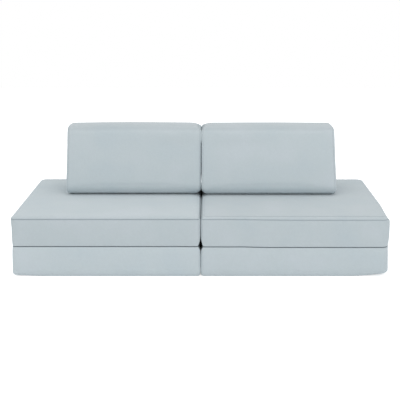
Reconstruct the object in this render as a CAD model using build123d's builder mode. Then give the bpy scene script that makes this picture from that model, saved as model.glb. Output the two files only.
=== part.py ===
from build123d import *
import os

# Foam floor sofa in two modules. Each module is a bi-fold foam mat folded in two, with a loose
# wedge-shaped back cushion standing on it. Millimetres. The front faces -Y, +Z is up, and +X is
# on the right of someone looking at the front. The origin is on the floor, under the middle of
# the outer box of the whole sofa.

# Mat panels
panel_width = 838.0
panel_depth = 838.0
panel_thickness = 137.0
layer_gap = 0.3
centre_gap = 0.8
panel_corner_radius = 30.0
panel_edge_radius = 6.0
rim_height = 7.0
seat_crown = 5.0
floor_crown = 4.0
floor_flat_depth = 0.5
crown_end_share = 0.25
crown_start_share = 0.02

# Cloth cover of a panel or a cushion, sewn over its foam
cloth_thickness = 1.5
foam_clearance = 0.3
zip_band_wrap = 62.0

# Cloth strip that joins the two panels of a mat at its outer end
hinge_cloth_thickness = 1.2
hinge_cloth_height = 30.0
hinge_cloth_clearance = 0.15
hinge_axis_clearance = 0.5

# Back cushions: a wedge section, carried along the sofa
cushion_width = 650.0
cushion_base_depth = 305.0
cushion_height = 317.0
cushion_top_depth = 181.0
cushion_front_setback = 420.0
cushion_lift = 0.3
cushion_centre_gap = 4.0
cushion_face_crown = 7.0
cushion_top_crown = 4.0
cushion_base_front_radius = 40.0
cushion_top_front_radius = 34.0
cushion_rear_radius = 22.0
cushion_end_radius = 20.0
cushion_end_seam_inset = 22.0
cushion_base_seam_rise = 6.0
cushion_rear_seam_inset = 24.0
cushion_zip_height = 70.0
cushion_zip_margin = 62.0

# Zips, which all run along X in a rear face
zip_tape_height = 26.0
zip_tape_thickness = 1.0
zip_end_margin = 46.0
zip_chain_height = 5.8
zip_chain_thickness = 2.2
zip_chain_margin = 8.0
zip_chain_chamfer = 0.6
zip_stop_length = 3.0
zip_stop_height = 8.0
zip_stop_thickness = 2.6
slider_clearance = 0.3
slider_length = 11.0
slider_wall = 1.3
slider_flange_lift = 0.3
slider_nose_chamfer = 2.0
bridge_length = 6.4
bridge_width = 3.0
bridge_leg = 1.5
bridge_room = 2.1
bridge_top_thickness = 1.1
pull_length = 27.0
pull_width = 8.0
pull_thickness = 1.2
pull_window_play = 0.5
pull_hole_radius = 1.5
pull_hole_inset = 4.5
pull_corner_radius = 2.5

# Heights and depths that follow from the sizes above
zip_proud = (
    zip_tape_thickness
    - cloth_thickness
    + zip_chain_thickness
    + slider_clearance
    + slider_wall
    + bridge_room
    + bridge_top_thickness
)
front_y = -(panel_depth + zip_proud) / 2
rear_y = front_y + panel_depth
middle_y = (front_y + rear_y) / 2
inner_x = centre_gap / 2
outer_x = inner_x + panel_width
base_top_z = panel_thickness
seat_under_z = base_top_z + layer_gap
fold_z = base_top_z + layer_gap / 2
seat_top_z = seat_under_z + panel_thickness
cushion_z = seat_top_z + cushion_lift
cushion_front_y = front_y + cushion_front_setback
cushion_rear_y = cushion_front_y + cushion_base_depth
hinge_cloth_x = outer_x + hinge_cloth_clearance
fold_x = hinge_cloth_x + hinge_cloth_thickness + hinge_axis_clearance

sides = {"left": -1, "right": 1}


def save(solid, name):
    # Labels one finished piece and writes its file.
    solid.label = name
    export_step(solid, f"parts/{name}.step")


def panel_block(side, low, high, inset):
    # A plain block with the plan of a panel, drawn in by inset all round.
    with BuildPart() as block:
        with BuildSketch(Plane.XY.offset(low)):
            with Locations((side * (inner_x + outer_x) / 2, middle_y)):
                RectangleRounded(panel_width - 2 * inset, panel_depth - 2 * inset, panel_corner_radius - inset)
        extrude(amount=high - low)
    return block.part


def flat_face_cloth(side, seam_z, rim_z):
    # A cover piece that another panel lies on: a flat pad from its seam to its rounded rim.
    with BuildPart() as pad:
        add(panel_block(side, min(seam_z, rim_z), max(seam_z, rim_z), 0))
        rims = pad.edges().filter_by_position(Axis.Z, rim_z, rim_z)
        fillet(rims, panel_edge_radius)
    return pad.part


def crowned_face_cloth(side, seam_z, rim_z, crown):
    # A cover piece that swells between its rounded rims. Three cross sections run from front to
    # rear, and the middle one is the fullest. A positive crown swells upwards.
    near = side * inner_x
    far = side * outer_x
    centre = (near + far) / 2
    with BuildPart() as pad:
        for y, share in ((front_y, crown_end_share), (middle_y, 1), (rear_y, crown_end_share)):
            with BuildSketch(Plane.XZ.offset(-y)):
                with BuildLine():
                    Line((near, seam_z), (far, seam_z))
                    Line((far, seam_z), (far, rim_z))
                    ThreePointArc((far, rim_z), (centre, rim_z + crown * share), (near, rim_z))
                    Line((near, rim_z), (near, seam_z))
                make_face()
        loft()
        rim_height = abs(rim_z - seam_z)
        uprights = pad.edges().filter_by(lambda edge: abs((edge @ 1 - edge @ 0).Z) > rim_height / 2)
        fillet(uprights, panel_corner_radius)
        rims = pad.edges().filter_by(lambda edge: abs(edge.center().Z - seam_z) > rim_height * 3 / 4)
        fillet(rims, panel_edge_radius)
        if crown < 0:
            split(bisect_by=Plane.XY, keep=Keep.TOP)
    return pad.part


def wedge_corners(inset):
    # Front low, rear low, rear high and front high corners of a cushion's section, before they
    # are rounded, with the radius of each.
    lean = (cushion_base_depth - cushion_top_depth) / (cushion_height - cushion_top_crown)
    low = cushion_z + inset
    high = cushion_z + cushion_height - cushion_top_crown - inset
    front_low = cushion_front_y + inset * (1 + lean**2) ** 0.5 + lean * inset
    front_high = front_low + lean * (high - low)
    rear = cushion_rear_y - inset
    return (
        ((front_low, low), cushion_base_front_radius - inset),
        ((rear, low), cushion_rear_radius - inset),
        ((rear, high), cushion_rear_radius - inset),
        ((front_high, high), cushion_top_front_radius - inset),
    )


def wedge_block(side, inset):
    # A plain wedge with rounded edges, drawn in by inset all over.
    corners = wedge_corners(inset)
    near = side * (cushion_centre_gap / 2 + inset)
    with BuildPart() as block:
        with BuildSketch(Plane.YZ.offset(near)) as section:
            with BuildLine():
                Polyline(*[corner for corner, radius in corners], close=True)
            make_face()
            for corner, radius in corners:
                fillet(section.vertices().sort_by_distance(corner)[0], radius)
        extrude(amount=side * (cushion_width - 2 * inset))
        ends = block.faces().filter_by(Axis.X).edges()
        fillet(ends, cushion_end_radius - inset)
    return block.part


def crowned_wedge(near, far):
    # The same wedge from near to far, with its front and top swelling between the two ends.
    (front_low, low), (rear, low), (rear, high), (front_high, high) = [c for c, r in wedge_corners(0)]
    with BuildPart() as form:
        for x, share in ((near, crown_start_share), ((near + far) / 2, 1), (far, crown_start_share)):
            middle_front = ((front_low + front_high) / 2 - cushion_face_crown * share, (low + high) / 2)
            middle_top = ((front_high + rear) / 2, high + cushion_top_crown * share)
            with BuildSketch(Plane.YZ.offset(x)) as section:
                with BuildLine():
                    Line((front_low, low), (rear, low))
                    Line((rear, low), (rear, high))
                    ThreePointArc((rear, high), middle_top, (front_high, high))
                    ThreePointArc((front_high, high), middle_front, (front_low, low))
                make_face()
                for corner, radius in wedge_corners(0):
                    fillet(section.vertices().sort_by_distance(corner)[0], radius)
        loft()
    return form.part


def cover_of(outer, inner):
    # The closed cloth skin between two forms.
    with BuildPart() as cover:
        add(outer)
        add(inner, mode=Mode.SUBTRACT)
    return cover.part


def cut_piece(cover, *cuts):
    # One sewn piece of a cover: what is left of it after each cut keeps one side of a plane.
    with BuildPart() as piece:
        add(cover)
        for plane, kept_side in cuts:
            split(bisect_by=plane, keep=kept_side)
    return piece.part


def zip_pieces(name, side, face_y, height, near, far):
    # Window, tape, chain, slider and pull of a zip that runs from near to far, both measured
    # from the middle of the sofa. The slider is parked at the far end.
    length = far - near
    centre = side * (near + far) / 2
    tape_y = face_y - cloth_thickness
    chain_y = tape_y + zip_tape_thickness
    chain_length = length - 2 * zip_chain_margin
    with BuildPart(Plane((centre, tape_y, height))) as tape:
        Box(length, zip_tape_thickness, zip_tape_height, align=(Align.CENTER, Align.MIN, Align.CENTER))
    save(tape.part, f"{name}_zip_tape")

    with BuildPart(Plane((centre, chain_y, height))) as chain:
        on_tape = (Align.CENTER, Align.MIN, Align.CENTER)
        Box(chain_length, zip_chain_thickness, zip_chain_height, align=on_tape)
        chamfer(chain.edges().filter_by(Axis.X).group_by(Axis.Y)[-1], zip_chain_chamfer)
        with Locations(*[(end * (chain_length + zip_stop_length) / 2, 0, 0) for end in (-1, 1)]):
            Box(zip_stop_length, zip_stop_thickness, zip_stop_height, align=on_tape)
    save(chain.part, f"{name}_zip_chain")

    slider_x = side * (far - zip_chain_margin - slider_clearance - slider_length / 2)
    channel_top = zip_chain_thickness + slider_clearance
    channel_width = zip_chain_height + 2 * slider_clearance
    plate_top = channel_top + slider_wall
    bar_height = plate_top + bridge_room / 2
    with BuildPart(Plane((slider_x, chain_y, height))) as slider:
        with Locations((0, slider_flange_lift, 0)):
            Box(
                slider_length,
                plate_top - slider_flange_lift,
                channel_width + 2 * slider_wall,
                align=(Align.CENTER, Align.MIN, Align.CENTER),
            )
        chamfer(slider.edges().filter_by(Axis.Y).group_by(Axis.X)[0 if side > 0 else -1], slider_nose_chamfer)
        Box(slider_length * 2, 2 * channel_top, channel_width, mode=Mode.SUBTRACT)
        with Locations((0, plate_top, 0)):
            Box(
                bridge_length,
                bridge_room + bridge_top_thickness,
                bridge_width,
                align=(Align.CENTER, Align.MIN, Align.CENTER),
            )
        with Locations((0, bar_height, 0)):
            Box(bridge_length - 2 * bridge_leg, bridge_room, bridge_width * 2, mode=Mode.SUBTRACT)
    save(slider.part, f"{name}_zip_slider")

    reach = ((bridge_length / 2) ** 2 + (bridge_room / 2 + bridge_top_thickness) ** 2) ** 0.5
    window_end = reach + pull_window_play
    bar_half = pull_thickness / 2
    with BuildPart(Plane((slider_x, chain_y + bar_height, height))) as pull:
        with Locations((side * (pull_length / 2 - bar_half), 0, 0)):
            Box(pull_length, pull_thickness, pull_width)
        fillet(pull.edges().filter_by(Axis.Y).group_by(Axis.X)[-1 if side > 0 else 0], pull_corner_radius)
        with Locations((side * (bar_half + window_end) / 2, 0, 0)):
            window_width = bridge_width + 2 * pull_window_play
            Box(window_end - bar_half, 2 * pull_thickness, window_width, mode=Mode.SUBTRACT)
        with Locations((side * (pull_length - bar_half - pull_hole_inset), 0, 0)):
            Cylinder(pull_hole_radius, 2 * pull_thickness, rotation=(90, 0, 0), mode=Mode.SUBTRACT)
    save(pull.part, f"{name}_zip_pull")


def zip_window(band, side, face_y, height, near, far):
    # The rear strip of a cover with the window that its zip tape fills.
    with BuildPart() as strip:
        add(band)
        with Locations((side * (near + far) / 2, face_y, height)):
            Box(far - near, 2 * cloth_thickness + foam_clearance, zip_tape_height, mode=Mode.SUBTRACT)
    return strip.part


def panel(name, side, under_z, top_z, under_crown, top_crown):
    # Foam block, four cover pieces and zip of one mat panel.
    under_rim = under_z + under_crown
    top_rim = top_z - top_crown
    under_seam = under_rim + rim_height
    top_seam = top_rim - rim_height
    if under_crown > 0:
        save(crowned_face_cloth(side, under_seam, under_rim, -under_crown), f"{name}_under_cloth")
    else:
        save(flat_face_cloth(side, under_seam, under_rim), f"{name}_under_cloth")
    if top_crown > 0:
        save(crowned_face_cloth(side, top_seam, top_rim, top_crown), f"{name}_top_cloth")
    else:
        save(flat_face_cloth(side, top_seam, top_rim), f"{name}_top_cloth")
    wall = cloth_thickness + foam_clearance
    save(panel_block(side, under_seam + foam_clearance, top_seam - foam_clearance, wall), f"{name}_foam")
    band = cover_of(
        panel_block(side, under_seam, top_seam, 0),
        panel_block(side, under_seam, top_seam, cloth_thickness),
    )
    rear_seam = Plane.XZ.offset(-(rear_y - zip_band_wrap))
    save(cut_piece(band, (rear_seam, Keep.TOP)), f"{name}_front_band")
    height = (under_seam + top_seam) / 2
    span = (inner_x + zip_end_margin, outer_x - zip_end_margin)
    save(zip_window(cut_piece(band, (rear_seam, Keep.BOTTOM)), side, rear_y, height, *span), f"{name}_zip_band")
    zip_pieces(name, side, rear_y, height, *span)


def fold_hinge(name, side):
    # The cloth strip that carries the upper panel of a mat while it folds out.
    length = panel_depth - 2 * panel_corner_radius
    centre = side * (hinge_cloth_x + hinge_cloth_thickness / 2)
    with BuildPart(Plane((centre, middle_y, fold_z))) as hinge:
        Box(hinge_cloth_thickness, length, hinge_cloth_height)
    save(hinge.part, name)


def back_cushion(name, side):
    # Foam wedge, five cover pieces and zip of one back cushion.
    save(wedge_block(side, cloth_thickness + foam_clearance), f"{name}_foam")
    inner = wedge_block(side, cloth_thickness)
    cover = cover_of(wedge_block(side, 0), inner)
    near = cushion_centre_gap / 2
    far = near + cushion_width
    near_x = side * (near + cushion_end_seam_inset)
    far_x = side * (far - cushion_end_seam_inset)
    outward, inward = (Keep.TOP, Keep.BOTTOM) if side > 0 else (Keep.BOTTOM, Keep.TOP)
    base_seam = Plane.XY.offset(cushion_z + cushion_base_seam_rise)
    rear_seam = Plane.XZ.offset(-(cushion_rear_y - cushion_rear_seam_inset))
    save(cut_piece(cover, (Plane.YZ.offset(near_x), inward)), f"{name}_inner_end_cloth")
    save(cut_piece(cover, (Plane.YZ.offset(far_x), outward)), f"{name}_outer_end_cloth")
    wrap = cut_piece(cover, (Plane.YZ.offset(near_x), outward), (Plane.YZ.offset(far_x), inward))
    save(cut_piece(wrap, (base_seam, Keep.BOTTOM), (rear_seam, Keep.TOP)), f"{name}_base_cloth")
    front = cover_of(crowned_wedge(near_x, far_x), inner)
    save(cut_piece(front, (base_seam, Keep.TOP), (rear_seam, Keep.TOP)), f"{name}_front_cloth")
    rear = cut_piece(wrap, (rear_seam, Keep.BOTTOM))
    height = cushion_z + cushion_zip_height
    span = (near + cushion_zip_margin, far - cushion_zip_margin)
    save(zip_window(rear, side, cushion_rear_y, height, *span), f"{name}_rear_cloth")
    zip_pieces(name, side, cushion_rear_y, height, *span)


os.makedirs("parts", exist_ok=True)
for side_name, side in sides.items():
    panel(f"{side_name}_base", side, -floor_flat_depth, base_top_z, floor_crown, 0)
    panel(f"{side_name}_seat", side, seat_under_z, seat_top_z, 0, seat_crown)
    fold_hinge(f"{side_name}_fold_hinge", side)
    back_cushion(f"{side_name}_back", side)

print("fold axis x, z:", round(fold_x, 3), round(fold_z, 3))
print("front and rear of the panels:", front_y, rear_y)
print("cushion base, front, rear:", cushion_z, cushion_front_y, cushion_rear_y)
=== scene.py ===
import math

import bpy
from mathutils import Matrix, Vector, kdtree, noise


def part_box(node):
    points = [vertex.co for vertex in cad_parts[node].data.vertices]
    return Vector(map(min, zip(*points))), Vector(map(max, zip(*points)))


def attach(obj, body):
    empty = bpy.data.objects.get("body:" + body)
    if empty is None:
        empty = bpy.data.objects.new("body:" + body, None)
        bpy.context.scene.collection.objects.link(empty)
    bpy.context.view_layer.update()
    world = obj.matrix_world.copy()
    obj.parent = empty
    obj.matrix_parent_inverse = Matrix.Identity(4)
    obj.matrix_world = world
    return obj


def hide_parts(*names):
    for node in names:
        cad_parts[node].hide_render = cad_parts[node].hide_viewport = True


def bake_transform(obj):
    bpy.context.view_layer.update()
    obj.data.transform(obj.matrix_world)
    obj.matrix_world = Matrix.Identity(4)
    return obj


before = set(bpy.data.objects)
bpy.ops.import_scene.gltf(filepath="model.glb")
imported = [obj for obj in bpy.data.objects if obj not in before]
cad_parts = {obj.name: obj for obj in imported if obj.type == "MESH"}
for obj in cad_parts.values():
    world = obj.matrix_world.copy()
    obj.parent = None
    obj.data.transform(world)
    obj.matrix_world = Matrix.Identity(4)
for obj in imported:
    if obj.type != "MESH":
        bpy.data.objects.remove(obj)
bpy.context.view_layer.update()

sideSigns = {"left": -1, "right": 1}
print("frame loaded:", len(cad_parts), "nodes")


# colours and materials

def linearColour(hexText):
    # sRGB hex to the linear values that the shader sockets want
    values = []
    for start in (0, 2, 4):
        channel = int(hexText[start:start + 2], 16) / 255
        values.append(channel / 12.92 if channel <= 0.04045 else ((channel + 0.055) / 1.055) ** 2.4)
    return (*values, 1.0)


def addNode(tree, kind, links=None, stops=(), **settings):
    # settings that name an input socket set it, stops are the colours of a ramp, the others set the node
    node = tree.nodes.new(kind)
    for key, value in settings.items():
        if key.startswith("in_"):
            socket = node.inputs[int(key[3:])] if key[3:].isdigit() else node.inputs[key[3:].replace("_", " ")]
            socket.default_value = value
        else:
            setattr(node, key, value)
    for key, source in (links or {}).items():
        tree.links.new(source, node.inputs[key])
    for _ in stops[2:]:
        node.color_ramp.elements.new(0.5)
    for i, (place, hexText) in enumerate(stops):
        node.color_ramp.elements[i].position = place
        node.color_ramp.elements[i].color = linearColour(hexText)
    return node


def newMaterial(name):
    material = bpy.data.materials.new(name)
    material.use_nodes = True
    material.node_tree.nodes.clear()
    return material, material.node_tree


def objectPoint(tree):
    # Object coordinates in millimetres
    place = addNode(tree, "ShaderNodeTexCoord")
    return addNode(tree, "ShaderNodeMapping", {0: place.outputs["Object"]}, in_Scale=(1000,) * 3).outputs[0]


suede = {
    # the first three colours are the random patch colours, the fourth is the colour of the painted shade in seams and
    # slits
    "deepTone": "B9C4C9", "midTone": "BCC6CA", "liftTone": "BFC8CD", "paintedShadeColour": "7C8890",
    "patchSize": 190.0, "patchDetail": 2.5, "patchRoughness": 0.5,
    "mottleSize": 11.0, "mottleDetail": 4.0, "mottleRoughness": 0.6, "mottleShade": 0.015, "mottleRelief": 0.35,
    "mottleDepth": 0.0006,
    "napSize": 0.9, "napDetail": 3.0, "napRoughness": 0.7, "napShade": 0.035, "napRelief": 0.5, "napDepth": 0.00018,
    "noiseLow": 0.3, "noiseHigh": 0.7,
    "roughness": 0.88, "sheen": 0.22, "sheenRoughness": 0.45, "specular": 0.25,
}


def brushedSuede():
    # Polyester micro-suede, brushed after weaving: matt, with a short nap that lies in faint
    # patches and a soft light edge from the nap, with painted shade in the seams and the slit
    # and painted light and shade that make whole faces lighter or darker
    material, tree = newMaterial("brushed_suede")
    point = objectPoint(tree)
    patch, mottle, nap = [
        addNode(tree, "ShaderNodeTexNoise", {"Vector": point}, in_Scale=1 / suede[f"{layer}Size"],
                in_Detail=suede[f"{layer}Detail"], in_Roughness=suede[f"{layer}Roughness"]).outputs[0]
        for layer in ("patch", "mottle", "nap")]
    tone = addNode(tree, "ShaderNodeValToRGB", {0: patch},
                   stops=((0.30, suede["deepTone"]), (0.5, suede["midTone"]), (0.70, suede["liftTone"])))
    mottleShade, napShade = [
        addNode(tree, "ShaderNodeMapRange", {0: source}, in_From_Min=suede["noiseLow"], in_From_Max=suede["noiseHigh"],
                in_To_Min=1 - amount, in_To_Max=1 + amount).outputs[0]
        for source, amount in ((mottle, suede["mottleShade"]), (nap, suede["napShade"]))]
    fine = addNode(tree, "ShaderNodeMath", {0: mottleShade, 1: napShade}, operation="MULTIPLY")
    # painted light and shade: the tone attribute makes whole faces lighter or darker and darkens a slack place
    paintedLightAndShade = addNode(tree, "ShaderNodeAttribute", attribute_name="tone")
    paintedLightAndShadeFactor = addNode(tree, "ShaderNodeMath", {0: paintedLightAndShade.outputs["Fac"]}, operation="ADD", in_1=1.0)
    shade = addNode(tree, "ShaderNodeMath", {0: fine.outputs[0], 1: paintedLightAndShadeFactor.outputs[0]}, operation="MULTIPLY")
    toned = addNode(tree, "ShaderNodeVectorMath", {0: tone.outputs[0], 3: shade.outputs[0]}, operation="SCALE")
    # painted shade: the seamShade attribute darkens the seams, the top-stitch groove and the slit towards the painted
    # shade colour
    seam = addNode(tree, "ShaderNodeAttribute", attribute_name="seamShade")
    withPaintedShade = addNode(tree, "ShaderNodeMix", {0: seam.outputs["Fac"], 6: toned.outputs[0]}, data_type="RGBA",
                     in_7=linearColour(suede["paintedShadeColour"]))
    fineRelief = addNode(tree, "ShaderNodeBump", {"Height": nap}, in_Strength=suede["napRelief"],
                         in_Distance=suede["napDepth"])
    relief = addNode(tree, "ShaderNodeBump", {"Height": mottle, "Normal": fineRelief.outputs[0]},
                     in_Strength=suede["mottleRelief"], in_Distance=suede["mottleDepth"])
    shader = addNode(tree, "ShaderNodeBsdfPrincipled", {"Base Color": withPaintedShade.outputs[2], "Normal": relief.outputs[0]},
                     in_Roughness=suede["roughness"], in_Sheen_Weight=suede["sheen"],
                     in_Sheen_Roughness=suede["sheenRoughness"], in_Specular_IOR_Level=suede["specular"])
    addNode(tree, "ShaderNodeOutputMaterial", {0: shader.outputs[0]})
    return material


def plainFinish(name, finish, kind, output=0, **patternSettings):
    # A material whose one pattern, sized in millimetres, gives both its colour and its relief
    material, tree = newMaterial(name)
    pattern = addNode(tree, kind, {"Vector": objectPoint(tree)}, in_Scale=1 / finish["size"],
                      **patternSettings).outputs[output]
    links = {"Base Color": addNode(tree, "ShaderNodeValToRGB", {0: pattern}, stops=finish["stops"]).outputs[0]}
    if "relief" in finish:
        links["Normal"] = addNode(tree, "ShaderNodeBump", {"Height": pattern}, in_Strength=finish["relief"],
                                  in_Distance=finish["depth"]).outputs[0]
    shader = addNode(tree, "ShaderNodeBsdfPrincipled", links, **finish["surface"])
    addNode(tree, "ShaderNodeOutputMaterial", {0: shader.outputs[0]})
    return material


tapeWeave = {"stops": ((0.0, "93A0A7"), (1.0, "A9B5BB")), "size": 1.1, "relief": 0.6, "depth": 0.0003,
             "surface": {"in_Roughness": 0.8}}


def wovenTape():
    # Woven polyester zip tape: a fine rib along its length, flatter and a little darker than the cover
    return plainFinish("woven_tape", tapeWeave, "ShaderNodeTexWave", "Fac", in_Distortion=0.4, bands_direction="Z")


coilFinish = {"stops": ((0.3, "8C999F"), (0.7, "A3B0B6")), "size": 1.5,
              "surface": {"in_Roughness": 0.38, "in_IOR": 1.53}}


def nylonCoil():
    # Extruded nylon monofilament: smooth and slightly glossy, dyed to match the cover
    return plainFinish("nylon_coil", coilFinish, "ShaderNodeTexNoise", in_Detail=2.0)


zincFinish = {"stops": ((0.45, "8E9AA2"), (0.8, "B9C1C6")), "size": 0.9, "relief": 0.3, "depth": 0.00006,
              "surface": {"in_Roughness": 0.42, "in_Metallic": 0.35}}


def lacqueredZinc():
    # Die-cast zinc under a thin baked lacquer: satin, with a slight orange peel and worn highs
    return plainFinish("lacquered_zinc", zincFinish, "ShaderNodeTexNoise", in_Detail=3.0)


threadFinish = {"stops": ((0.3, "A4B0B7"), (0.7, "C3CCD2")), "size": 0.5, "relief": 0.5, "depth": 0.0001,
                "surface": {"in_Roughness": 0.7}}


def sewingThread():
    # Spun polyester thread, twisted: matt, a shade lighter than the cover
    return plainFinish("sewing_thread", threadFinish, "ShaderNodeTexNoise", in_Detail=1.0)


foamFinish = {"stops": ((0.0, "DDD6C2"), (0.6, "EFEAD9")), "size": 1.2, "relief": 0.6, "depth": 0.0006,
              "surface": {"in_Roughness": 0.95}}


def openCellFoam():
    # Slab polyurethane foam, cut with a hot wire: matt, with open cells of about a millimetre
    return plainFinish("open_cell_foam", foamFinish, "ShaderNodeTexVoronoi", "Distance")


finishes = {
    "cover": brushedSuede(), "tape": wovenTape(), "coil": nylonCoil(), "zinc": lacqueredZinc(),
    "thread": sewingThread(), "foam": openCellFoam(),
}
print("materials made")


# soft blocks: a lattice laid over a box, with its corners and rims turned round

def clamp01(value):
    return max(0.0, min(1.0, value))


def smooth(value):
    value = clamp01(value)
    return value * value * (3 - 2 * value)


lattice = {"firstStep": 0.0007, "growth": 1.32, "leastStep": 0.0004, "coarse": 0.011}


def latticeLines(length, extra=()):
    # Places from 0 to length, close together at both ends and coarse between them
    steps, place, step = [], 0.0, lattice["firstStep"]
    while place < length / 2:
        steps.append(place)
        place += step
        step = min(step * lattice["growth"], lattice["coarse"])
    lines = sorted(steps + [length - back for back in steps] + list(extra))
    kept = [lines[0]]
    for line in lines[1:]:
        if line - kept[-1] > lattice["leastStep"]:
            kept.append(line)
    kept[-1] = length
    return kept


def evenLines(length, step):
    count = max(2, round(length / step))
    return [length * i / count for i in range(count + 1)]


def turnCorner(first, second):
    # Maps a square corner on its quarter disc
    longer = max(first, second)
    reach = math.hypot(first, second)
    return first * longer / reach, second * longer / reach


def outlineTurn(a, b, halfA, halfB, radiiOf):
    # Rounds the outline's corner. Gives the new place, the inward distance and the outward direction
    signA, signB = (1 if a > 0 else -1), (1 if b > 0 else -1)
    radiusA, radiusB = radiiOf(signA, signB)
    inward = min(halfA - abs(a), halfB - abs(b))
    overA, overB = abs(a) - (halfA - radiusA), abs(b) - (halfB - radiusB)
    if overA > 0 and overB > 0:
        turnedA, turnedB = turnCorner(overA / radiusA, overB / radiusB)
        normalA, normalB = turnedA / radiusA, turnedB / radiusB
        reach = math.hypot(normalA, normalB)
        outward = (signA * normalA / reach, signB * normalB / reach)
        return (signA * (halfA - radiusA + turnedA * radiusA), signB * (halfB - radiusB + turnedB * radiusB),
                inward, outward)
    if halfA - abs(a) < halfB - abs(b):
        return a, b, inward, (signA, 0.0)
    return a, b, inward, (0.0, signB)


def latticeShell(lines):
    # Vertices and outward quads of the outside of a box lattice
    counts = [len(line) for line in lines]
    index, places, faces = {}, [], []

    def vertex(key):
        if key not in index:
            index[key] = len(places)
            places.append(tuple(lines[axis][key[axis]] for axis in range(3)))
        return index[key]

    for axis in range(3):
        u, v = (axis + 1) % 3, (axis + 2) % 3
        for end in (0, counts[axis] - 1):
            for i in range(counts[u] - 1):
                for j in range(counts[v] - 1):
                    quad = []
                    for di, dj in ((0, 0), (1, 0), (1, 1), (0, 1)):
                        key = [0, 0, 0]
                        key[axis], key[u], key[v] = end, i + di, j + dj
                        quad.append(vertex(tuple(key)))
                    faces.append(quad if end else quad[::-1])
    return places, faces


def sceneObject(name, data):
    made = bpy.data.objects.new(name, data)
    bpy.context.scene.collection.objects.link(made)
    return made


def meshObject(name, places, faces, edges=()):
    mesh = bpy.data.meshes.new(name)
    mesh.from_pydata(places, edges, faces)
    mesh.polygons.foreach_set("use_smooth", [True] * len(mesh.polygons))
    return sceneObject(name, mesh)


def drift(x, y, z, size, seed):
    # Slow noise between about -1 and 1, with size in metres
    return noise.noise(Vector((x / size + seed, y / size, z / size)))


def span(lows, highs):
    # The least and the greatest corner
    return Vector([min(values) for values in zip(*lows)]), Vector([max(values) for values in zip(*highs)])


def nodeBox(*names):
    return span(*zip(*(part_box(name) for name in names)))


# zip windows and the calls that every soft piece makes

zipWindow = {"recess": 0.0013, "border": 0.0006, "rearRoom": 0.0012, "edgePlay": 1e-5}
nearly = 1e-6


def bothSides(*edges):
    # Lattice lines close before and after each edge of the zip window
    return [edge + offset for edge in edges for offset in (-zipWindow["border"], zipWindow["border"])]


def settleRear(spot, rear, tape):
    # The rear face sinks over the zip tape and stays near its plane elsewhere
    low, high = tape
    play = zipWindow["edgePlay"]
    if low.x - play < spot.x < high.x + play and low.z < spot.z < high.z:
        spot.y = rear - zipWindow["recess"]
    else:
        spot.y = min(spot.y, rear + zipWindow["rearRoom"])


def bodyOf(name):
    return f"{name}_cushion" if name.endswith("_back") else name


def placeInFrame(piece, name, slot, *replaced):
    if replaced:
        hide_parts(*replaced)
    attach(piece, bodyOf(name))


# filling: cloth under pressure on an even mesh, whose movement the finished cover takes over

filling = {
    "grid": 0.0125, "frames": 20, "pressure": 4.0, "growth": -0.006, "tension": 18.0, "bend": 2.5, "mass": 0.3,
    "quality": 6, "neighbours": 5, "nearest": 1e-6, "cap": 0.0022, "seamHold": 0.001,
}


def filledMovement(name, size, shape, isPinned):
    # Blows up an even copy of the shape and gives back how far each place on it moved
    places, faces = latticeShell([evenLines(length, filling["grid"]) for length in size])
    rest = [Vector(shape(*place, withSeams=False)[0]) for place in places]
    tree = kdtree.KDTree(len(places))
    for index, place in enumerate(places):
        tree.insert(place, index)
    tree.balance()
    pad = meshObject(f"{name}_fill", rest, faces)
    pins = pad.vertex_groups.new(name="pins")
    pins.add([i for i, place in enumerate(places) if isPinned(*place)], 1.0, "REPLACE")
    cloth = pad.modifiers.new("fill", "CLOTH")
    settings = cloth.settings
    settings.quality = filling["quality"]
    settings.mass = filling["mass"]
    settings.tension_stiffness = settings.compression_stiffness = filling["tension"]
    settings.bending_stiffness = filling["bend"]
    settings.use_pressure = True
    settings.uniform_pressure_force = filling["pressure"]
    settings.shrink_min = settings.shrink_max = filling["growth"]
    settings.effector_weights.gravity = 0
    settings.vertex_group_mass = pins.name
    cloth.point_cache.frame_start, cloth.point_cache.frame_end = 1, filling["frames"]
    for frameNumber in range(1, filling["frames"] + 1):
        bpy.context.scene.frame_set(frameNumber)
    final = pad.evaluated_get(bpy.context.evaluated_depsgraph_get()).data
    moves, cap = [], filling["cap"]
    for vertex, place in zip(final.vertices, rest):
        move = vertex.co - place
        length = move.length
        moves.append(move * (cap * math.tanh(length / cap) / length) if length else Vector())
    bpy.data.objects.remove(pad)
    bpy.context.scene.frame_set(1)
    print("filled", name, "largest move", round(max(move.length for move in moves) * 1000, 2), "mm")
    return tree, moves


def movementAt(tree, moves, place):
    total, weightSum = Vector(), 0.0
    for _, index, distance in tree.find_n(place, filling["neighbours"]):
        weight = 1 / (distance * distance + filling["nearest"])
        total += moves[index] * weight
        weightSum += weight
    return total / weightSum


foamBlock = {"grid": 0.03, "inset": 0.009, "fill": 1.0}
covers = {}
shapes = {}


def foamPiece(name):
    # The cut block inside a cover, a little smaller all round
    shape, size, _ = shapes[name]
    places, faces = latticeShell([evenLines(length, foamBlock["grid"]) for length in size])
    spots = [Vector(shape(*place, withSeams=False)[0]) for place in places]
    low, high = span(spots, spots)
    middle, half = (low + high) / 2, (high - low) / 2
    for spot in spots:
        for i in range(3):
            spot[i] = middle[i] + (spot[i] - middle[i]) * (half[i] - foamBlock["inset"]) / half[i]
    piece = meshObject(f"{name}_block", spots, faces)
    piece.data.materials.append(finishes["foam"])
    placeInFrame(piece, name, "foam", f"{name}_foam")


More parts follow.
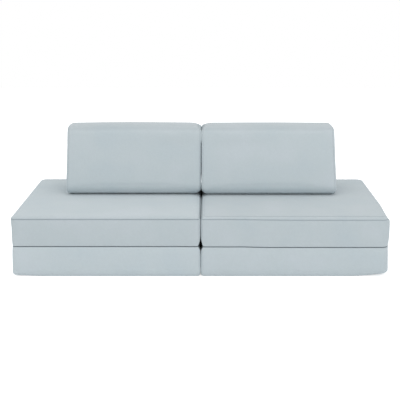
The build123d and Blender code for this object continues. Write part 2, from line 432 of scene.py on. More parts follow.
def coverPiece(name, replaced, shape, size, extraLines, isPinned, finishPlace, fill):
    # The finished cover: lattice, shape, filling and seams, with its painted seam shade (seamShade) and painted light
    # and shade (tone) attributes
    filled = filledMovement(name, size, shape, isPinned)
    shapes[name] = shape, size, filled
    places, faces = latticeShell([latticeLines(length, extra) for length, extra in zip(size, extraLines)])
    made, shades, paintedShadingValues = [], [], []
    for place in places:
        spot, shade, tone = shape(*place)
        made.append(finishPlace(place, Vector(spot), movementAt(*filled, place)))
        shades.append(shade)
        paintedShadingValues.append(tone)
    piece = covers[name] = meshObject(f"{name}_cover", made, faces)
    for attributeName, values in (("seamShade", shades), ("tone", paintedShadingValues)):
        piece.data.attributes.new(attributeName, "FLOAT", "POINT").data.foreach_set("value", values)
    piece.data.materials.append(finishes["cover"])
    placeInFrame(piece, name, "cover_fabric", *replaced)
    print("made", name, "cover,", len(made), "vertices")
    foamPiece(name)


# mat panels

panelCover = {
    # outline corners and rims
    "innerFrontRadius": 0.015, "innerRearRadius": 0.026, "crispRim": 0.0065, "topInnerRim": 0.021,
    "topOuterRim": 0.0085, "cornerRimReach": 0.30, "endRim": {"base": 0.026, "seat": 0.035},
    "floorRim": 0.005, "floorOuterRim": 0.012, "floorInnerRim": 0.009, "slitRim": 0.0009,
    # faces, the slit between the panels, and the ends; a bend is the power that squares a crown or a rim
    "topSettle": 0.0020, "floorSettle": 0.0010, "faceBend": 6, "rimBend": 8, "waveDepth": 0.0009, "waveSize": 0.17,
    "sideReach": 0.02, "slitLip": 0.0012, "slitDepth": 0.030, "slitBend": 1.5, "slitReach": 0.008,
    # slitShade and slitShadeFrom: painted shade in the slit between the panels, over its last quarter
    "slitShade": 0.9, "slitShadeFrom": 0.75, "shiftReach": 0.09,
    "flareBend": 0.7, "innerDraw": 0.0022, "innerDrawReach": 0.016, "innerPart": {"seat": 0.0014, "base": 0.0008},
    "liftEnd": 0.838, "liftBend": 1.7, "liftDepth": 0.12, "liftHeight": 0.06,
    # seams and stitched lines
    "seamDrop": 0.0098, "seamWidth": 0.0018, "seamDepth": 0.0019, "baseSeamShare": 0.3,
    "seamLines": (-0.0040, -0.0027, -0.0018, -0.0009, 0, 0.0009, 0.0018, 0.0027),
    "sagReach": 0.010, "sagFrom": 0.10, "sagOver": 0.35,
    "puckerDepth": 0.0005, "puckerReach": 0.010, "puckerSize": 0.014,
    "stitchInset": 0.0150, "stitchDepth": 0.0009, "stitchWidth": 0.0030, "stitchRearShare": 0.25,
    "stitchLines": (-0.0045, -0.0022, 0, 0.0022, 0.0045), "heldHeight": 0.014, "topShadingInset": 0.004,
    "fill": 0.95,
}
panelLook = {
    # flare: how far the outer end stands out at the top, at the junction and at the floor
    # lift: the floor corner; junction: shift of the line between the panels; endLimit: past the block
    # seamShade and the four values after it are painted: shade in the seam and top-stitch grooves, then light and
    # shade on the seat's top, the rest of the seat and the whole base panel
    "left": {
        "flare": (0.0010, -0.0020, 0.0034), "belly": 0.0, "lift": 0.0065, "liftReach": 0.17, "junction": 0.0016,
        "frontRadius": 0.015, "rearRadius": 0.032, "cornerRim": 0.0, "seamSag": 0.0, "seamShade": 0.75,
        "topStitchShade": 0.10, "topPaintedShading": 0.022, "frontPaintedShade": -0.035, "basePaintedLight": 0.048,
        "endLimit": {"seat": 0.0009, "base": 0.0022},
    },
    "right": {
        "flare": (0.0014, -0.0036, 0.0024), "belly": 0.0042, "lift": 0.0145, "liftReach": 0.19, "junction": -0.0024,
        "frontRadius": 0.034, "rearRadius": 0.037, "cornerRim": 0.019, "seamSag": 0.0036, "seamShade": 0.60,
        "topStitchShade": 0.50, "topPaintedShading": -0.046, "frontPaintedShade": -0.032, "basePaintedLight": 0.018,
        "endLimit": {"seat": 0.0022, "base": 0.0009},
    },
}
junctionLine = {"from": 0.16, "over": 0.16, "ripple": 0.0005, "rippleSize": 0.07, "depth": 0.07,
                "seeds": {"left": 2.2, "right": 8.8}}
panelSeeds = {"left_base": 3.1, "left_seat": 11.7, "right_base": 27.4, "right_seat": 41.9}


def junctionShift(side, x, inward):
    # The line between the panels runs a little high on the left and sinks along the right module
    line = junctionLine
    share = 1.0 if side == "left" else smooth((abs(x) - line["from"]) / line["over"])
    ripple = line["ripple"] * drift(x, 0, 0, line["rippleSize"], line["seeds"][side])
    return (panelLook[side]["junction"] * share + ripple) * smooth(1 - inward / line["depth"])


def panelShape(side, layer, low, high):
    sign, isSeat = sideSigns[side], layer == "seat"
    cover, look, seed = panelCover, panelLook[side], panelSeeds[f"{side}_{layer}"]
    flatHigh = high.z - (cover["topSettle"] if isSeat else 0.0)
    flatLow = low.z + (0.0 if isSeat else cover["floorSettle"])
    half = Vector(((high.x - low.x) / 2, (high.y - low.y) / 2, (flatHigh - flatLow) / 2))
    middle = Vector(((high.x + low.x) / 2, (high.y + low.y) / 2, (flatHigh + flatLow) / 2))
    seamHeight = flatHigh - cover["seamDrop"] if isSeat else flatLow + cover["seamDrop"]

    def radiiOf(signX, signY):
        isInner = signX != sign
        if signY < 0:
            radius = cover["innerFrontRadius"] if isInner else look["frontRadius"]
        else:
            radius = cover["innerRearRadius"] if isInner else look["rearRadius"]
        return radius, radius

    def shape(px, py, pz, withSeams=True):
        x, y, z = px - half.x, py - half.y, pz - half.z
        isUpper = z > 0
        isFree = isUpper == isSeat
        x, y, inward, outward = outlineTurn(x, y, half.x, half.y, radiiOf)
        endShare = outward[0] ** 2
        isInnerEnd = outward[0] * sign < 0
        if isFree:
            face, end = ("top" if isSeat else "floor"), ("Inner" if isInnerEnd else "Outer")
            longRim, shortRim = cover["crispRim"] if isSeat else cover["floorRim"], cover[f"{face}{end}Rim"]
            if isSeat and not isInnerEnd:
                shortRim += look["cornerRim"] * smooth(1 - (y + half.y) / cover["cornerRimReach"])
        else:
            longRim, shortRim = cover["slitRim"], cover["endRim"][layer] if isInnerEnd else cover["slitRim"]
        rim = longRim * (1 - endShare) + shortRim * endShare
        overIn, overUp = rim - inward, rim - (half.z - abs(z))
        if overIn > 0 and overUp > 0:
            newIn, newUp = turnCorner(overIn, overUp)
            x -= outward[0] * (overIn - newIn)
            y -= outward[1] * (overIn - newIn)
            z = math.copysign(half.z - rim + newUp, z)
        u, v, w = x / half.x, y / half.y, z / half.z
        sideShare = clamp01(1 - inward / cover["sideReach"])
        wx, wy, wz = x + middle.x, y + middle.y, z + middle.z
        # the free face settles between its rims, the other one opens a slit at its edge
        if isFree:
            bend = cover["faceBend"]
            fullness = clamp01(1 - abs(u) ** bend) * clamp01(1 - abs(v) ** bend) * abs(w) ** cover["rimBend"]
            if isSeat:
                wave = drift(wx, wy, 0, cover["waveSize"], seed) - 1
                wz += (cover["topSettle"] + cover["waveDepth"] * wave) * fullness
            else:
                wz -= cover["floorSettle"] * fullness
        toward = 1 if isSeat else -1
        nearJunction = clamp01(1 - (half.z - abs(z)) / cover["slitReach"]) if not isFree else 0.0
        slit = cover["slitLip"] * clamp01(1 - inward / cover["slitDepth"]) ** cover["slitBend"]
        wz += toward * slit * smooth(nearJunction)
        junctionHeight = high.z if not isSeat else low.z
        reach = clamp01(1 - abs(wz - junctionHeight) / cover["shiftReach"])
        wz += junctionShift(side, wx, inward) * smooth(reach)
        # drawn in at the junction, a little flared at the free face
        freeShare = clamp01(abs(wz - junctionHeight) / (2 * half.z))
        if outward[0] and not isInnerEnd:
            atTop, atJunction, atFloor = look["flare"]
            free = atTop if isSeat else atFloor
            belly = look["belly"] * 4 * freeShare * (1 - freeShare) if isSeat else 0.0
            flare = atJunction + (free - atJunction) * freeShare ** cover["flareBend"] + belly
            wx += outward[0] * flare * sideShare
        elif outward[0]:
            away = abs(wz - junctionHeight) / cover["innerDrawReach"]
            wx -= outward[0] * (cover["innerPart"][layer] + cover["innerDraw"] * math.exp(-away)) * sideShare
        if not isSeat and not isUpper and wy < 0:
            corner = clamp01((abs(wx) - (cover["liftEnd"] - look["liftReach"])) / look["liftReach"])
            lift = look["lift"] * corner ** cover["liftBend"] * smooth(1 - (wy - low.y) / cover["liftDepth"])
            wz += lift * smooth(1 - (wz - low.z) / cover["liftHeight"])
        shade = 0.0
        # painted light and shade: the seat's top, the rest of the seat and the base panel each made lighter or darker
        tone = look["basePaintedLight"] if not isSeat else (
            look["topPaintedShading"] if inward > cover["topShadingInset"] and isUpper else look["frontPaintedShade"])
        if withSeams:
            away = (wz - seamHeight) / cover["seamWidth"]
            groove = math.exp(-away * away) * sideShare * (1.0 if isSeat else cover["baseSeamShare"])
            wx -= outward[0] * cover["seamDepth"] * groove
            wy -= outward[1] * cover["seamDepth"] * groove
            # painted shade darkens the seam groove
            shade = groove * look["seamShade"]
            along = wx * abs(outward[1]) + wy * abs(outward[0])
            pucker = math.exp(-abs(wz - seamHeight) / cover["puckerReach"]) * sideShare
            amount = cover["puckerDepth"] * pucker * drift(along, 0, seamHeight, cover["puckerSize"], seed + 3)
            wx -= outward[0] * amount
            wy -= outward[1] * amount
            if isSeat:
                away = (wz - seamHeight) / cover["sagReach"]
                share = smooth((abs(wx) - cover["sagFrom"]) / cover["sagOver"])
                wz -= look["seamSag"] * share * math.exp(-away * away) * sideShare
            if isFree and isSeat:
                away = (inward - cover["stitchInset"]) / cover["stitchWidth"]
                rearShare = cover["stitchRearShare"]
                groove = math.exp(-away * away) * abs(w) ** cover["rimBend"]
                groove *= rearShare + (1 - rearShare) * clamp01(-outward[1])
                wz -= cover["stitchDepth"] * groove
                # painted shade darkens the top-stitch groove
                shade = max(shade, groove * look["topStitchShade"])
            if not isFree:
                # painted shade in the slit where the panels meet
                dark = smooth((nearJunction - cover["slitShadeFrom"]) / (1 - cover["slitShadeFrom"]))
                shade = max(shade, cover["slitShade"] * dark * sideShare)
        return (wx, wy, wz), shade, tone

    return shape, half, flatLow


def panelPiece(side, layer):
    sign, isSeat = sideSigns[side], layer == "seat"
    name, cover = f"{side}_{layer}", panelCover
    replaced = [f"{name}_{part}" for part in ("top_cloth", "under_cloth", "front_band", "zip_band")]
    low, high = nodeBox(*replaced)
    panelEnd, endLimit = max(abs(low.x), abs(high.x)), panelLook[side]["endLimit"][layer]
    shape, half, flatLow = panelShape(side, layer, low, high)
    size = [2 * length for length in half]
    tapeLow, tapeHigh = tape = nodeBox(f"{name}_zip_tape")
    seam = size[2] - cover["seamDrop"] if isSeat else cover["seamDrop"]
    zExtra = [seam + offset for offset in cover["seamLines"]]
    zExtra += bothSides(tapeLow.z - flatLow, tapeHigh.z - flatLow)
    insets = [cover["stitchInset"] + offset for offset in cover["stitchLines"]] if isSeat else []
    xExtra = bothSides(tapeLow.x - low.x, tapeHigh.x - low.x)
    xExtra += insets + [size[0] - line for line in insets]
    yExtra = insets + [size[1] - line for line in insets]

    def isPinned(px, py, pz):
        # held where another panel or the floor lies on it, and along the seams
        isHeld = pz < nearly or not isSeat and pz > size[2] - nearly
        fromEnds, fromSides = min(pz, size[2] - pz), min(px, py, size[0] - px, size[1] - py)
        return isHeld or max(fromEnds, fromSides) < filling["seamHold"]

    def finishPlace(place, spot, move):
        # no filling lifts the face on the other panel, and the end leaves room for the unfolded one
        toJunction = place[2] if isSeat else size[2] - place[2]
        move.z *= smooth(toJunction / cover["heldHeight"])
        spot += move
        if place[1] > size[1] - nearly:
            settleRear(spot, high.y, tape)
        if isSeat:
            spot.z = min(spot.z, high.z)
        else:
            spot.z = max(spot.z, low.z)
        excess = abs(spot.x) - panelEnd
        if excess > 0:
            spot.x = sign * (panelEnd + endLimit * math.tanh(excess / endLimit))
        spot.x = max(low.x, spot.x) if sign > 0 else min(high.x, spot.x)
        return spot

    coverPiece(name, replaced, shape, size, (xExtra, yExtra, zExtra), isPinned, finishPlace, cover["fill"])


for side in sideSigns:
    for layer in ("base", "seat"):
        panelPiece(side, layer)


# back cushions

backCover = {
    # outline corners and rims
    "baseFrontReach": 0.070, "baseFrontRise": 0.051, "topFrontRadius": 0.030, "rearRadius": 0.024,
    "outerRim": {"left": 0.015, "right": 0.020}, "outerTopRim": {"left": 0.007, "right": 0.015}, "outerLowRim": 0.015,
    "innerRim": 0.011, "innerClosedRim": 0.0014, "closedFrom": 0.50, "closedOver": 0.2,
    "innerTopRim": 0.025, "innerRearRim": 0.016, "innerLowRim": 0.028,
    # the wedge, its crowns and its ends; outerLean: how far the outer end stands out at base and top
    "frontLow": {"left": -0.00225, "right": -0.0125}, "frontHigh": 0.12175, "crownRoom": 0.0040,
    "frontCrown": 0.0070, "topCrown": 0.0025, "crownBend": 3, "topBow": {"left": 0.0052, "right": 0.0034},
    "waveDepth": 0.0012, "waveSize": 0.13, "topWaveShare": 0.5, "topWaveSize": 0.12,
    "innerFrom": 0.97, "innerBulge": 0.0019, "innerCloseness": (8, 72), "innerBend": 12,
    "outerFrom": 0.9, "outerBulge": {"left": 0.0070, "right": 0.0050}, "bulgeRise": 0.5,
    "outerLean": {"left": (0.0008, -0.0012), "right": (0.0022, -0.0046)},
    # room left at the inner end, more of it low down and most at the foot
    "innerRoom": 0.0001, "lowRoom": 0.0007, "lowRoomTop": 0.160, "lowRoomOver": 0.02,
    "footRoom": 0.0012, "footRoomTop": 0.060, "footRoomOver": 0.04,
    # hollow: middle along the sofa and in height, width and rise of the slack place
    "hollow": {"left": (-0.13, 0.525, 0.14, 0.024), "right": (0.15, 0.515, 0.12, 0.024)},
    # painted shade: darker in the slack place and on the top face
    "hollowDepth": 0.0016, "hollowPaintedShade": -0.026, "topPaintedShading": -0.073, "topShadingFrom": 0.3, "topShadingOver": 0.5,
    # seamShade: painted shade in the end seam grooves
    "seamInset": 0.005, "seamWidth": 0.0016, "seamDepth": 0.0011, "seamShade": 0.28, "sideReach": 0.01,
    "seamLines": (-0.0024, -0.0016, -0.0008, 0, 0.0008, 0.0016, 0.0024), "fill": 0.9,
}
backSeeds = {"left": 5.3, "right": 18.6}


def cushionShape(side, low, high):
    sign, cover, seed = sideSigns[side], backCover, backSeeds[side]
    frontLow, frontHigh = cover["frontLow"][side], cover["frontHigh"]
    top = high.z - cover["crownRoom"]
    half = Vector(((high.x - low.x) / 2, (high.y - frontLow) / 2, (top - low.z) / 2))
    middle = Vector(((low.x + high.x) / 2, (frontLow + high.y) / 2, (low.z + top) / 2))

    def radiiOf(signY, signZ):
        if signY > 0:
            return cover["rearRadius"], cover["rearRadius"]
        if signZ > 0:
            return cover["topFrontRadius"], cover["topFrontRadius"]
        return cover["baseFrontReach"], cover["baseFrontRise"]

    def shape(px, py, pz, withSeams=True):
        x, y, z = px - half.x, py - half.y, pz - half.z
        y, z, inward, outward = outlineTurn(y, z, half.y, half.z, radiiOf)
        isInner = x * sign < 0
        upShare, downShare = clamp01(outward[1]) ** 2, clamp01(-outward[1]) ** 2
        # the inner ends close on each other near the top, and part lower down
        closed = smooth((z / half.z - cover["closedFrom"]) / cover["closedOver"])
        if isInner:
            topRim = cover["innerTopRim"] + cover["innerRearRim"] * smooth((y / half.y + 1) / 2)
            lowRim = cover["innerLowRim"]
            middleRim = cover["innerRim"] + (cover["innerClosedRim"] - cover["innerRim"]) * closed
        else:
            topRim, lowRim, middleRim = cover["outerTopRim"][side], cover["outerLowRim"], cover["outerRim"][side]
        rim = topRim * upShare + lowRim * downShare + middleRim * (1 - upShare - downShare)
        endInset = half.x - abs(x)
        overIn, overEnd = rim - inward, rim - endInset
        if overIn > 0 and overEnd > 0:
            newIn, newEnd = turnCorner(overIn, overEnd)
            y -= outward[0] * (overIn - newIn)
            z -= outward[1] * (overIn - newIn)
            x = math.copysign(half.x - rim + newEnd, x)
        u, v, w = x / half.x, y / half.y, z / half.z
        # the wedge: the front leans back with height
        height = (w + 1) / 2
        front = frontLow + (frontHigh - frontLow) * height
        wy = front + (high.y - front) * (v + 1) / 2
        wx, wz = x + middle.x, z + middle.z
        along, across = clamp01(1 - abs(u) ** cover["crownBend"]), clamp01(1 - w * w)
        hollow = 0.0
        if outward[0] < 0:
            share = -outward[0] * along * across * clamp01(1 - inward / half.y)
            wy -= (cover["frontCrown"] + cover["waveDepth"] * drift(wx, 0, wz, cover["waveSize"], seed)) * share
            # a slack place under the top edge, dented in and darkened with painted shade
            middleX, middleZ, width, rise = cover["hollow"][side]
            away = ((wx - middleX) / width) ** 2 + ((wz - middleZ) / rise) ** 2
            hollow = math.exp(-away) * clamp01(-outward[0])
            wy += cover["hollowDepth"] * hollow
        if outward[1] > 0:
            depth = clamp01(1 - abs(v) ** cover["crownBend"])
            wave = cover["waveDepth"] * cover["topWaveShare"] * drift(wx, wy, 0, cover["topWaveSize"], seed + 5)
            wz += (cover["topCrown"] + wave) * outward[1] * along * depth * clamp01(1 - inward / half.z)
        wz += cover["topBow"][side] * (1 - u * u) * smooth(w)
        if isInner and abs(u) > cover["innerFrom"]:
            # the two cushions lean on each other between their rims
            least, more = cover["innerCloseness"]
            full = clamp01(1 - abs(v) ** (least + more * closed)) * clamp01(1 - abs(w) ** cover["innerBend"])
            wx -= sign * cover["innerBulge"] * full * smooth((abs(u) - cover["innerFrom"]) / (1 - cover["innerFrom"]))
        elif abs(u) > cover["outerFrom"]:
            full = clamp01(1 - v * v) * smooth((w + 1) / cover["bulgeRise"])
            atBase, atTop = cover["outerLean"][side]
            outside = smooth((abs(u) - cover["outerFrom"]) / (1 - cover["outerFrom"]))
            wx += sign * (atBase + (atTop - atBase) * height + cover["outerBulge"][side] * full) * outside
        shade = 0.0
        sideShare = clamp01(1 - inward / cover["sideReach"])
        if withSeams:
            away = (endInset - cover["seamInset"]) / cover["seamWidth"]
            groove = math.exp(-away * away) * sideShare
            wy -= outward[0] * cover["seamDepth"] * groove
            wz -= max(0.0, outward[1]) * cover["seamDepth"] * groove
            # painted shade darkens the end seam groove
            shade = groove * cover["seamShade"]
        # painted shade: the top face and the slack place made darker
        tone = cover["topPaintedShading"] * smooth((outward[1] - cover["topShadingFrom"]) / cover["topShadingOver"]) * sideShare
        tone += cover["hollowPaintedShade"] * hollow
        return (wx, wy, max(low.z, wz)), shade, tone

    return shape, half


def cushionPiece(side):
    sign, name, cover = sideSigns[side], f"{side}_back", backCover
    replaced = [f"{name}_{part}" for part in ("front_cloth", "rear_cloth", "base_cloth", "inner_end_cloth",
                                              "outer_end_cloth")]
    low, high = nodeBox(*replaced)
    shape, half = cushionShape(side, low, high)
    size = [2 * length for length in half]
    tapeLow, tapeHigh = tape = nodeBox(f"{name}_zip_tape")
    seams = [cover["seamInset"] + offset for offset in cover["seamLines"]]
    xExtra = bothSides(tapeLow.x - low.x, tapeHigh.x - low.x)
    xExtra += seams + [size[0] - seam for seam in seams]
    zExtra = bothSides(tapeLow.z - low.z, tapeHigh.z - low.z)

    def isPinned(px, py, pz):
        # held on the seat and along the seams of both ends
        fromEnds, fromSides = min(px, size[0] - px), min(py, pz, size[1] - py, size[2] - pz)
        return pz < nearly or max(fromEnds, fromSides) < filling["seamHold"]

    def finishPlace(place, spot, move):
        spot += move
        if place[1] > size[1] - nearly:
            settleRear(spot, high.y, tape)
        spot.z = max(low.z, spot.z)
        # low down the inner end leaves room for the seat it stands beside once the mat is unfolded
        room, height = cover["innerRoom"], spot.z - low.z
        for part in ("low", "foot"):
            room += cover[f"{part}Room"] * smooth((cover[f"{part}RoomTop"] - height) / cover[f"{part}RoomOver"])
        spot.x = sign * max(room, sign * spot.x)
        return spot

    coverPiece(name, replaced, shape, size, (xExtra, (), zExtra), isPinned, finishPlace, cover["fill"])


for side in sideSigns:
    cushionPiece(side)


# beads along a path: the Geometry Nodes tree that lays the stitches and the zip coils

beadForm = {"in_Segments": 8, "in_Rings": 5, "in_Radius": 0.5}  # one unit across, each bead scales it


def beadTree():
    # A guide of edges becomes a curve, gets points at an even pitch, and each point gets one bead,
    # its length along the curve and its height along the guide's facing
    tree = bpy.data.node_groups.new("beads_on_path", "GeometryNodeTree")
    sockets = {"Geometry": tree.interface.new_socket("Geometry", in_out="INPUT", socket_type="NodeSocketGeometry")}
    tree.interface.new_socket("Geometry", in_out="OUTPUT", socket_type="NodeSocketGeometry")
    for name in ("Pitch", "Bead length", "Bead width", "Bead height", "Tilt", "Unevenness"):
        sockets[name] = tree.interface.new_socket(name, in_out="INPUT", socket_type="NodeSocketFloat")
    sockets["Seed"] = tree.interface.new_socket("Seed", in_out="INPUT", socket_type="NodeSocketInt")
    sockets["Finish"] = tree.interface.new_socket("Finish", in_out="INPUT", socket_type="NodeSocketMaterial")
    given = addNode(tree, "NodeGroupInput").outputs
    curve = addNode(tree, "GeometryNodeMeshToCurve", {0: given["Geometry"]})
    points = addNode(tree, "GeometryNodeResampleCurve", {"Curve": curve.outputs[0], "Length": given["Pitch"]},
                     mode="LENGTH")
    bead = addNode(tree, "GeometryNodeMeshUVSphere", **beadForm)
    facing = addNode(tree, "GeometryNodeInputNamedAttribute", data_type="FLOAT_VECTOR", in_Name="facing")
    along = addNode(tree, "FunctionNodeAlignRotationToVector",
                    {"Vector": addNode(tree, "GeometryNodeInputTangent").outputs[0]}, axis="X")
    upright = addNode(tree, "FunctionNodeAlignRotationToVector",
                      {"Rotation": along.outputs[0], "Vector": facing.outputs["Attribute"]}, axis="Z", pivot_axis="X")
    tilt = addNode(tree, "ShaderNodeCombineXYZ", {"Z": given["Tilt"]})
    turned = addNode(tree, "FunctionNodeRotateRotation", {0: upright.outputs[0], 1: tilt.outputs[0]},
                     rotation_space="LOCAL")
    size = addNode(tree, "ShaderNodeCombineXYZ",
                   {"X": given["Bead length"], "Y": given["Bead width"], "Z": given["Bead height"]})
    least = addNode(tree, "ShaderNodeMath", {1: given["Unevenness"]}, operation="SUBTRACT", in_0=1.0)
    most = addNode(tree, "ShaderNodeMath", {1: given["Unevenness"]}, operation="ADD", in_0=1.0)
    share = addNode(tree, "FunctionNodeRandomValue",
                    {"Min": least.outputs[0], "Max": most.outputs[0], "Seed": given["Seed"]}, data_type="FLOAT")
    scale = addNode(tree, "ShaderNodeVectorMath", {0: size.outputs[0], 3: share.outputs["Value"]}, operation="SCALE")
    placed = addNode(tree, "GeometryNodeInstanceOnPoints",
                     {"Points": points.outputs[0], "Instance": bead.outputs[0], "Rotation": turned.outputs[0],
                      "Scale": scale.outputs[0]})
    whole = addNode(tree, "GeometryNodeRealizeInstances", {0: placed.outputs[0]})
    rounded = addNode(tree, "GeometryNodeSetShadeSmooth", {0: whole.outputs[0]})
    finished = addNode(tree, "GeometryNodeSetMaterial", {0: rounded.outputs[0], "Material": given["Finish"]})
    addNode(tree, "NodeGroupOutput", {0: finished.outputs[0]})
    return tree, sockets


beads, beadSockets = beadTree()


def beadPiece(name, guides, settings, finish):
    # guides: lists of places with the way each one faces. Gives a plain mesh
    places, facings, edges = [], [], []
    for guide in guides:
        start = len(places)
        places += [place for place, _ in guide]
        facings += [facing for _, facing in guide]
        edges += [(start + i, start + i + 1) for i in range(len(guide) - 1)]
    guideMesh = meshObject(f"{name}_guide", places, [], edges)
    attribute = guideMesh.data.attributes.new("facing", "FLOAT_VECTOR", "POINT")
    attribute.data.foreach_set("vector", [value for facing in facings for value in facing])
    modifier = guideMesh.modifiers.new("beads", "NODES")
    modifier.node_group = beads
    for inputName, value in {**settings, "Finish": finish}.items():
        modifier[beadSockets[inputName].identifier] = value
    graph = bpy.context.evaluated_depsgraph_get()
    mesh = bpy.data.meshes.new_from_object(guideMesh.evaluated_get(graph), depsgraph=graph)
    bpy.data.objects.remove(guideMesh)
    return sceneObject(name, mesh)


stitch = {"Pitch": 0.0042, "Bead length": 0.0031, "Bead width": 0.0007, "Bead height": 0.0007, "Tilt": 0.06,
          "Unevenness": 0.06, "Seed": 4}
stitchPath = {"step": 0.006, "bandOffset": 0.0036, "endOffset": 0.0042, "sink": 0.0001, "baseGap": 0.03,
              "jump": 0.05}


def loopPlaces(length, width, inset):
    # Round a rectangle, one place every step
    corners = [(inset, inset), (length - inset, inset), (length - inset, width - inset), (inset, width - inset),
               (inset, inset)]
    places = []
    for (startA, startB), (endA, endB) in zip(corners, corners[1:]):
        count = max(2, round(math.hypot(endA - startA, endB - startB) / stitchPath["step"]))
        places += [(startA + (endA - startA) * i / count, startB + (endB - startB) * i / count)
                   for i in range(count)]
    return places + [corners[-1]]


def stitchGuide(name, latticePlaces):
    # Lattice places, put on the finished cover
    shape, size, filled = shapes[name]
    guide = []
    for place in latticePlaces:
        spot = Vector(shape(*place)[0]) + movementAt(*filled, place)
        _, nearest, normal, _ = covers[name].closest_point_on_mesh(spot)
        guide.append((nearest - normal * stitchPath["sink"], normal))
    return guide


def splitAtJumps(places):
    runs = [[places[0]]]
    for before, place in zip(places, places[1:]):
        if math.dist(before, place) > stitchPath["jump"]:
            runs.append([])
        runs[-1].append(place)
    return [run for run in runs if len(run) > 1]


def stitchPiece(name):
    size, guides = shapes[name][1], []
    if name.endswith("_back"):
        around = [(py, pz) for py, pz in loopPlaces(size[1], size[2], 0.0) if pz > stitchPath["baseGap"]]
        inset = backCover["seamInset"] + stitchPath["endOffset"]
        for endPlace in (inset, size[0] - inset):
            # the loop starts at the base, so it is cut there
            guides += splitAtJumps([(endPlace, py, pz) for py, pz in around])
    else:
        isSeat, side = name.endswith("_seat"), name.split("_")[0]
        seam = size[2] - panelCover["seamDrop"] if isSeat else panelCover["seamDrop"]
        height = seam + (-stitchPath["bandOffset"] if isSeat else stitchPath["bandOffset"])
        guides.append([(px, py, height) for px, py in loopPlaces(size[0], size[1], 0.0)])
        if isSeat:
            guides.append([(px, py, size[2]) for px, py in loopPlaces(size[0], size[1], panelCover["stitchInset"])])
    piece = beadPiece(f"{name}_stitches", [stitchGuide(name, guide) for guide in guides], stitch, finishes["thread"])
    placeInFrame(piece, name, "cover_fabric")


for name in shapes:
    stitchPiece(name)
print("stitches laid")


coil = {"Pitch": 0.0017, "Bead length": 0.0012, "Bead width": 0.0031, "Bead height": 0.0019, "Tilt": 0.14,
        "Unevenness": 0.0, "Seed": 1}
coilRow = {"offset": 0.00135, "rise": 0.00110, "stopLength": 0.0030, "coreRadius": 0.0005, "coreOffset": 0.0021,
           "coreRise": 0.0007, "stopRadius": 0.00105, "barSides": 6, "endRoom": 0.0006}


def barParts(startX, endX, y, z, radius):
    # A closed round bar along X
    sides = coilRow["barSides"]
    turns = [math.tau * i / sides for i in range(sides)]
    places = [(x, y + radius * math.cos(turn), z + radius * math.sin(turn)) for x in (startX, endX) for turn in turns]
    faces = [(i, (i + 1) % sides, sides + (i + 1) % sides, sides + i) for i in range(sides)]
    return places, faces + [tuple(reversed(range(sides))), tuple(range(sides, 2 * sides))]


def coilPiece(name):
    # The closed coil: two rows of nylon turns that mesh in the middle, each on its cord
    low, high = nodeBox(f"{name}_zip_chain")
    centre = (low.z + high.z) / 2
    nearEnd, farEnd = low.x + coilRow["stopLength"], high.x - coilRow["stopLength"]
    parts = []
    for upward, shift in ((1, 0.0), (-1, coil["Pitch"] / 2)):
        row = {**coil, "Tilt": coil["Tilt"] * upward}
        place = (low.y + coilRow["rise"], centre + upward * coilRow["offset"])
        ends = (nearEnd + coilRow["endRoom"] + shift, farEnd - coilRow["endRoom"])
        laid = beadPiece(f"{name}_coil_row", [[((x, *place), (0, 1, 0)) for x in ends]], row, finishes["coil"])
        parts.append(([vertex.co.copy() for vertex in laid.data.vertices],
                      [list(polygon.vertices) for polygon in laid.data.polygons]))
        bpy.data.objects.remove(laid)
    for upward in (1, -1):
        parts.append(barParts(nearEnd, farEnd, low.y + coilRow["coreRise"], centre + upward * coilRow["coreOffset"],
                              coilRow["coreRadius"]))
    for end in (low.x, farEnd):
        parts.append(barParts(end, end + coilRow["stopLength"], low.y + coilRow["stopRadius"], centre,
                              coilRow["stopRadius"]))
    places, faces = [], []
    for partPlaces, partFaces in parts:
        faces += [[len(places) + i for i in face] for face in partFaces]
        places += partPlaces
    piece = meshObject(f"{name}_zip_coil", places, faces)
    piece.data.materials.append(finishes["coil"])
    placeInFrame(piece, name, "zip_coil", f"{name}_zip_chain")


for name in shapes:
    coilPiece(name)
print("zip coils laid")


# fold hinges: a strip of cover cloth over the outer end, across the line where the panels meet

hingeStrip = {"thickness": 0.0008, "clearance": 0.0002, "yStep": 0.016, "zStep": 0.0015, "dodge": 0.0035,
              "overlap": 0.004, "lookFrom": 0.9, "bendHalf": 0.006}


def hingePiece(side):
    sign = sideSigns[side]
    low, high = nodeBox(f"{side}_fold_hinge")
    axisHeight = (low.z + high.z) / 2
    lines = [[0.0, hingeStrip["thickness"]], evenLines(high.y - low.y, hingeStrip["yStep"]),
             evenLines(high.z - low.z, hingeStrip["zStep"])]
    places, faces = latticeShell(lines)
    made = []
    for across, alongY, upZ in places:
        y, z, reach = low.y + alongY, low.z + upZ, 0.0
        for layer, awayFrom in (("base", -1), ("seat", 1)):
            # the rims at the junction are passed over
            lookHeight = (min if awayFrom < 0 else max)(z, axisHeight + awayFrom * hingeStrip["dodge"])
            if (z - axisHeight) * awayFrom < -hingeStrip["overlap"]:
                continue
            outside = (sign * hingeStrip["lookFrom"], y, lookHeight)
            isHit, spot, _, _ = covers[f"{side}_{layer}"].ray_cast(outside, (-sign, 0, 0))
            reach = max(reach, abs(spot.x)) if isHit else reach
        offset = across if sign > 0 else hingeStrip["thickness"] - across
        made.append((sign * (reach + hingeStrip["clearance"] + offset), y, z))
    piece = meshObject(f"{side}_hinge_strip", made, faces)
    piece.data.materials.append(finishes["cover"])
    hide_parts(f"{side}_fold_hinge")
    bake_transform(piece)


for side in sideSigns:
    hingePiece(side)
print("fold hinges laid")


# carried-over nodes get their finish

for name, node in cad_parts.items():
    for ending, finish in (("_zip_tape", "tape"), ("_zip_slider", "zinc"), ("_zip_pull", "zinc")):
        if name.endswith(ending):
            node.data.materials.clear()
            node.data.materials.append(finishes[finish])
print("zip parts finished")


# floor, light and camera

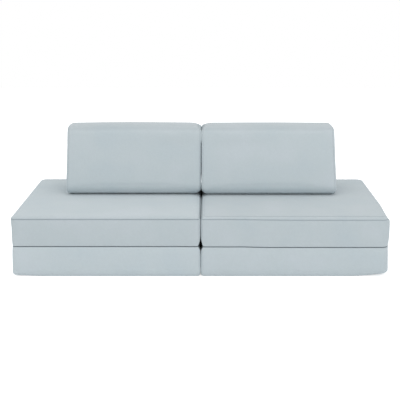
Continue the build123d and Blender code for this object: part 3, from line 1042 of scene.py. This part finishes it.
studio = {
    "floorSize": 14.0, "floorTone": "F4F5F6", "floorGlow": 0.6, "worldStrength": 0.842, "worldTone": "FFFFFF",
    "keyPower": 38.0, "keySize": 3.6, "keyPlace": (2.6, -4.2, 3.2),
    "fillPower": 22.0, "fillSize": 5.0, "fillPlace": (-2.8, -4.4, 2.4),
    "skyPower": 30.0, "skySize": 5.0, "skyPlace": (0.0, 0.2, 5.0), "aim": (0.0, 0.0, 0.25),
}


def seenAsWhite(tree):
    # 1 where a ray comes from the camera or off a glossy or clear surface
    path = addNode(tree, "ShaderNodeLightPath")
    first = addNode(tree, "ShaderNodeMath", {0: path.outputs["Is Camera Ray"], 1: path.outputs["Is Glossy Ray"]},
                    operation="MAXIMUM")
    return addNode(tree, "ShaderNodeMath", {0: first.outputs[0], 1: path.outputs["Is Transmission Ray"]},
                   operation="MAXIMUM").outputs[0]


def whiteFloor():
    # Pale matt floor, lifted to white for the camera where nothing shades it
    reach = studio["floorSize"] / 2
    corners = [(-reach, -reach, 0), (reach, -reach, 0), (reach, reach, 0), (-reach, reach, 0)]
    floor = meshObject("floor", corners, [(0, 1, 2, 3)])
    material, tree = newMaterial("floor_paint")
    paint = addNode(tree, "ShaderNodeBsdfDiffuse", in_Color=linearColour(studio["floorTone"]))
    glow = addNode(tree, "ShaderNodeEmission", in_Strength=studio["floorGlow"])
    both = addNode(tree, "ShaderNodeAddShader", {0: paint.outputs[0], 1: glow.outputs[0]})
    mixed = addNode(tree, "ShaderNodeMixShader", {0: seenAsWhite(tree), 1: paint.outputs[0], 2: both.outputs[0]})
    addNode(tree, "ShaderNodeOutputMaterial", {0: mixed.outputs[0]})
    floor.data.materials.append(material)


def paleWorld():
    world = bpy.data.worlds.new("studio")
    bpy.context.scene.world = world
    world.use_nodes = True
    tree = world.node_tree
    tree.nodes.clear()
    lit = addNode(tree, "ShaderNodeBackground", in_Color=linearColour(studio["worldTone"]),
                  in_Strength=studio["worldStrength"])
    seenWhite = addNode(tree, "ShaderNodeBackground", in_Color=(1, 1, 1, 1), in_Strength=1.0)
    mixed = addNode(tree, "ShaderNodeMixShader", {0: seenAsWhite(tree), 1: lit.outputs[0], 2: seenWhite.outputs[0]})
    addNode(tree, "ShaderNodeOutputWorld", {0: mixed.outputs[0]})


def softLamp(name):
    data = bpy.data.lights.new(name, "AREA")
    data.energy = studio[f"{name}Power"]
    data.size = studio[f"{name}Size"]
    lamp = sceneObject(name, data)
    lamp.location = studio[f"{name}Place"]
    lamp.rotation_euler = (Vector(studio["aim"]) - lamp.location).to_track_quat("-Z", "Y").to_euler()


photoView = {"focal": 978.8, "frame": 400.0, "sensor": 36.0, "pitch": 12.928,
             "place": (0.0346, -4.6086, 1.3119), "principalX": 208.38}


def photoCamera():
    data = bpy.data.cameras.new("camera")
    data.sensor_width = photoView["sensor"]
    data.lens = photoView["focal"] / photoView["frame"] * photoView["sensor"]
    data.shift_x = -(photoView["principalX"] - photoView["frame"] / 2) / photoView["frame"]
    camera = sceneObject("camera", data)
    camera.location = photoView["place"]
    camera.rotation_euler = (math.radians(90 - photoView["pitch"]), 0, 0)
    bpy.context.scene.camera = camera


whiteFloor()
paleWorld()
for lampName in ("key", "fill", "sky"):
    softLamp(lampName)
photoCamera()
bpy.context.scene.view_settings.view_transform = "Standard"
print("stage set")
